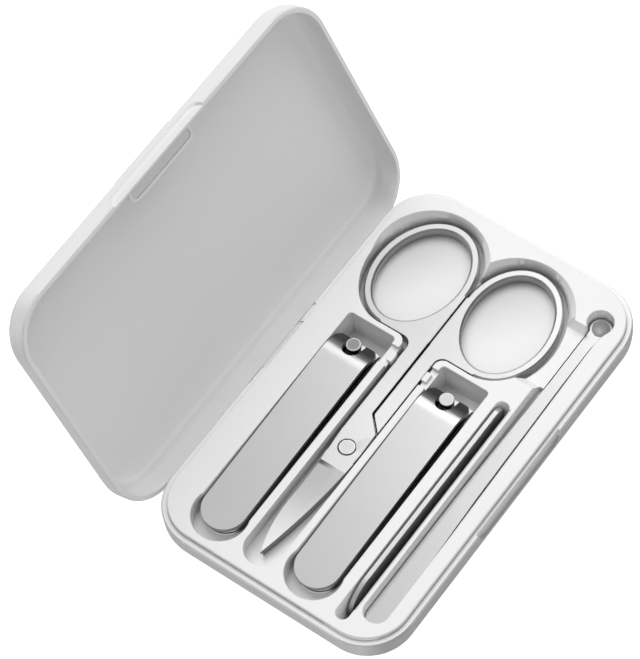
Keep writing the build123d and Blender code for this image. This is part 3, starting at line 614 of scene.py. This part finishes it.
def rib_tree(material):
    """Node tree that lays a row of ribs across a plate."""
    tree = bpy.data.node_groups.new("file_ribs", "GeometryNodeTree")
    for socket, kind in (("Geometry", "Geometry"), ("Count", "Int"), ("Pitch", "Float"),
                         ("Start", "Vector"), ("Size", "Vector"), ("Lean", "Float")):
        tree.interface.new_socket(socket, in_out="INPUT", socket_type="NodeSocket" + kind)
    tree.interface.new_socket("Geometry", in_out="OUTPUT", socket_type="NodeSocketGeometry")
    t = Tree(tree)
    given = t.add("NodeGroupInput").outputs
    step = t.add("ShaderNodeCombineXYZ", {}, {"X": given["Pitch"]}).outputs[0]
    row = t.add("GeometryNodeMeshLine", {}, {
        "Count": given["Count"], "Start Location": given["Start"], "Offset": step}).outputs[0]
    rib = t.add("GeometryNodeMeshCube", {}, {"Size": given["Size"]}).outputs[0]
    lean = t.add("ShaderNodeCombineXYZ", {}, {"Y": given["Lean"]}).outputs[0]
    laid = t.add("GeometryNodeInstanceOnPoints", {}, {
        "Points": row, "Instance": rib, "Rotation": lean}).outputs[0]
    real = t.add("GeometryNodeRealizeInstances", {}, {0: laid}).outputs[0]
    dressed = t.add("GeometryNodeSetMaterial", {}, {"Geometry": real, "Material": material}).outputs[0]
    t.add("NodeGroupOutput", {}, {"Geometry": dressed})
    return tree


def grown(name, tree, values):
    """A plain mesh object made by a node tree, its inputs given by name."""
    obj = shown(name, bpy.data.meshes.new(name + "_seed"))
    modifier = obj.modifiers.new(name, "NODES")
    modifier.node_group = tree
    for item in tree.interface.items_tree:
        if item.in_out == "INPUT" and item.name in values:
            modifier[item.identifier] = values[item.name]
    bpy.context.view_layer.update()
    deps = bpy.context.evaluated_depsgraph_get()
    obj.data = bpy.data.meshes.new_from_object(obj.evaluated_get(deps), depsgraph=deps)
    obj.data.name = name
    obj.modifiers.remove(modifier)
    return obj


def file_ribs(material):
    """The cut of the file: ribs across both of its faces."""
    low, high = (Vector(corner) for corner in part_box("nail_file"))
    thick, tall = high.y - low.y, high.z - low.z
    start = (low + high) / 2
    start.x = low.x + tall
    count = int((high.x - start.x) / MM / RIB_PITCH) - RIBS_LEFT_OUT
    size = (RIB_WIDTH * MM, thick + 2 * RIB_PROUD * MM, tall - 2 * RIB_SHORT * MM)
    return grown("file_ribs", rib_tree(material), {
        "Count": count, "Pitch": RIB_PITCH * MM, "Start": start, "Size": size, "Lean": RIB_LEAN})


# ---------------------------------------------------------------- settings
def share(name, description, default):
    """A setting from 0 to 1."""
    return FloatProperty(name=name, description=description, default=default, min=0.0, max=1.0,
                         subtype="FACTOR")


def watts(name, description, default):
    """The power of a light."""
    return FloatProperty(name=name, description=description, default=default, unit="POWER")


class CaseSettings(bpy.types.PropertyGroup):
    """The plastic of the case"""
    plastic_level: share("Plastic level", "Brightness of the white plastic", 0.74)
    # below the level of the case plastic: painted shade on the lid
    lid_shade_level: share("Lid level", "Brightness of the plastic of the lid", 0.655)
    plastic_rough: share("Plastic roughness", "Roughness of the white plastic", 0.48)


class SteelSettings(bpy.types.PropertyGroup):
    """The steel of the tools"""
    steel_level: share("Steel level", "Brightness of the steel tools", 0.74)
    steel_rough: share("Steel roughness", "Roughness of the satin steel", 0.3)


class StageSettings(bpy.types.PropertyGroup):
    """The floor, the lights and the camera"""
    floor_level: share("Floor level", "Brightness of the pale floor", 0.75)
    floor_glow: share("Floor glow", "Light added to the floor as it is seen", 0.9)
    room_level: share("Room level", "Brightness of the room overhead", 0.55)
    room_low: share("Low room level", "Brightness of the room near the floor", 0.12)
    top_power: watts("Top panel", "Power of the soft panel overhead", 13.6)
    side_power: watts("Side panel", "Power of the panel that the steel reflects", 3.2)
    front_power: watts("Front panel", "Power of the soft panel in front", 1.2)
    lens: FloatProperty(name="Lens", description="Focal length of the camera in millimetres",
                        default=191.2, min=1.0, unit="CAMERA")


# ---------------------------------------------------------------- pieces
class SET_OT_case(bpy.types.Operator):
    """Dress the base, the insert, the lid and their metal"""
    bl_idname = "set.case"
    bl_label = "Case"

    def execute(self, context):
        s = context.scene.case_settings
        # the lid is a dimmer copy of the case plastic, painted shade, with painted light on its faces
        # that look to -x and -y
        lid = Moulding("lid_plastic", s.lid_shade_level, s.plastic_rough).sides(left=1.25, front=1.3)
        latch = Moulding("latch_plastic", s.plastic_level, s.plastic_rough).sides()
        metal = Steel("hinge_metal", 0.6, 0.25, BLADE_LINES).done()
        dress("base_shell", base_plastic(s.plastic_level, s.plastic_rough))
        dress("lid_shell", lid.done())
        dress("tray_insert", insert_plastic(s.plastic_level, s.plastic_rough))
        dress("latch_cover", latch.done())
        for node in ("hinge_pin", "latch_keeper", "latch_magnet"):
            dress(node, metal)
        return {"FINISHED"}


class SET_OT_clippers(bpy.types.Operator):
    """Dress the two nail clippers"""
    bl_idname = "set.clippers"
    bl_label = "Nail clippers"

    def execute(self, context):
        s = context.scene.steel_settings
        x_tail, x_jaw = (corner[0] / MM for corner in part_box("clipper_rear_lower_arm"))
        x_bend = x_jaw - BEND_BACK
        lever = lever_steel(s.steel_level, s.steel_rough, x_bend)
        arm = arm_steel(s.steel_level, s.steel_rough, x_tail, x_jaw)
        # the post heads are lit and shaded copies of one steel: painted shade on the rear one
        for where, head_shade_level in (("rear", 0.3), ("front", 0.62)):
            name = "clipper_" + where + "_"
            ease_bend(dress(name + "lever", lever).data, x_bend)
            dress(name + "upper_arm", arm)
            dress(name + "lower_arm", arm)
            middle = plan_circle(name + "post")[0]
            head = turned_steel(name + "post_steel", head_shade_level, 0.4, middle, HEAD_R, rim=0.8)
            dress(name + "post", head)
            dress(name + "tail_rivet", head)
        return {"FINISHED"}


class SET_OT_scissors(bpy.types.Operator):
    """Dress the scissors"""
    bl_idname = "set.scissors"
    bl_label = "Scissors"

    def execute(self, context):
        s = context.scene.steel_settings
        rivet, radius = plan_circle("scissors_rivet")
        x_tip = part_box("scissors_left")[0][0] / MM
        steel = blade_steel(s.steel_level, s.steel_rough, rivet, x_tip)
        head = turned_steel("rivet_steel", s.steel_level * 0.95, 0.34, rivet, radius, rim=0.9)
        for node in ("scissors_left", "scissors_right"):
            dress(node, steel)
        dress("scissors_rivet", head)
        return {"FINISHED"}


class SET_OT_small_tools(bpy.types.Operator):
    """Dress the nail file and the ear pick"""
    bl_idname = "set.small_tools"
    bl_label = "File and pick"

    def execute(self, context):
        s = context.scene.steel_settings
        steel = file_steel(s.steel_level, s.steel_rough)
        dress("nail_file", steel)
        ribs = file_ribs(steel)
        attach(ribs, BODY_OF["nail_file"])
        dress("ear_pick", pick_steel(s.steel_level, s.steel_rough))
        return {"FINISHED"}


# ---------------------------------------------------------------- stage
def pale_floor(level, glow):
    """Pale paper that stays white to the eye and sends little light back up."""
    bm = bmesh.new()
    bmesh.ops.create_grid(bm, x_segments=8, y_segments=8, size=FLOOR_HALF)
    mesh = bpy.data.meshes.new("floor")
    bm.to_mesh(mesh)
    bm.free()
    mesh.transform(Matrix.Translation((0, 0, -FLOOR_DROP * MM)))
    f = Finish("floor_paper")
    f.set(base_color=grey(level), roughness=0.9, specular_ior_level=0.1)
    seen = f.value(f.add("ShaderNodeLightPath"), "Is Camera Ray")
    f.set(emission_color=f.blend(seen, grey(0.0), grey(glow)), emission_strength=1.0)
    mesh.materials.append(f.material)
    floor = shown("floor", mesh)


def pale_room(low, high):
    """Even light from all round, brighter from above."""
    world = bpy.data.worlds.new("studio")
    bpy.context.scene.world = world
    world.use_nodes = True
    room = Tree(world.node_tree)
    height = room.axis(room.add("ShaderNodeTexCoord").outputs["Generated"], 2)
    glow = height.step(*ROOM_RISE) * (high - low) + low
    back = room.add("ShaderNodeBackground", {}, {"Color": grey(1.0), "Strength": glow})
    room.add("ShaderNodeOutputWorld", {}, {"Surface": back.outputs[0]})


def soft_panel(name, place, width, power, in_steel):
    """A round soft light turned to the case; in_steel says whether it shows in reflections."""
    data = bpy.data.lights.new(name, "AREA")
    data.shape, data.size, data.size_y, data.energy = "ELLIPSE", width, width, power
    obj = shown(name, data)
    obj.location = place
    obj.rotation_mode = "QUATERNION"
    obj.rotation_quaternion = (-Vector(place)).to_track_quat("-Z", "Y")
    obj.visible_glossy = in_steel


def set_camera(lens):
    """Places the camera from how the case lies before it: its turn and the shift of its rim."""
    data = bpy.data.cameras.new("camera")
    data.lens, data.sensor_width = lens, 36.0
    data.clip_start, data.clip_end = 0.01, 20.0
    camera = shown("camera", data)
    turn_back = Matrix.Rotation(CAMERA_TURN.length, 3, CAMERA_TURN.normalized()).transposed()
    place = Vector((0, 0, RIM_Z)) - turn_back @ CAMERA_SHIFT
    flip = Matrix(((1, 0, 0), (0, -1, 0), (0, 0, -1)))
    camera.matrix_world = Matrix.Translation(place) @ (turn_back @ flip).to_4x4()
    bpy.context.scene.camera = camera


class SET_OT_stage(bpy.types.Operator):
    """Lay the pale floor, set the lights and the camera"""
    bl_idname = "set.stage"
    bl_label = "Stage"

    def execute(self, context):
        s = context.scene.stage_settings
        pale_floor(s.floor_level, s.floor_glow)
        pale_room(s.room_low, s.room_level)
        for name, place, width, power, in_steel in PANELS:
            soft_panel(name, place, width, getattr(s, power), in_steel)
        set_camera(s.lens)
        context.scene.view_settings.view_transform = "Standard"
        return {"FINISHED"}


# ---------------------------------------------------------------- add-on
GROUPS = {
    "case_settings": CaseSettings,
    "steel_settings": SteelSettings,
    "stage_settings": StageSettings,
}
PIECES = (SET_OT_case, SET_OT_clippers, SET_OT_scissors, SET_OT_small_tools, SET_OT_stage)


class SET_PT_panel(bpy.types.Panel):
    """Lists the pieces and their settings"""
    bl_idname = "SET_PT_panel"
    bl_label = "Manicure set"
    bl_space_type = "VIEW_3D"
    bl_region_type = "UI"
    bl_category = "Manicure set"

    def draw(self, context):
        for group in GROUPS:
            box = self.layout.box()
            settings = getattr(context.scene, group)
            for prop in settings.__annotations__:
                box.prop(settings, prop)
        for operator in PIECES:
            self.layout.operator(operator.bl_idname)


CLASSES = (*GROUPS.values(), *PIECES, SET_PT_panel)


def register():
    for cls in CLASSES:
        bpy.utils.register_class(cls)
    for name, cls in GROUPS.items():
        setattr(bpy.types.Scene, name, PointerProperty(type=cls))


def unregister():
    for name in GROUPS:
        delattr(bpy.types.Scene, name)
    for cls in reversed(CLASSES):
        bpy.utils.unregister_class(cls)


def main():
    register()
    for operator in ("case", "clippers", "scissors", "small_tools", "stage"):
        getattr(bpy.ops.set, operator)()


if __name__ == "__main__":
    main()
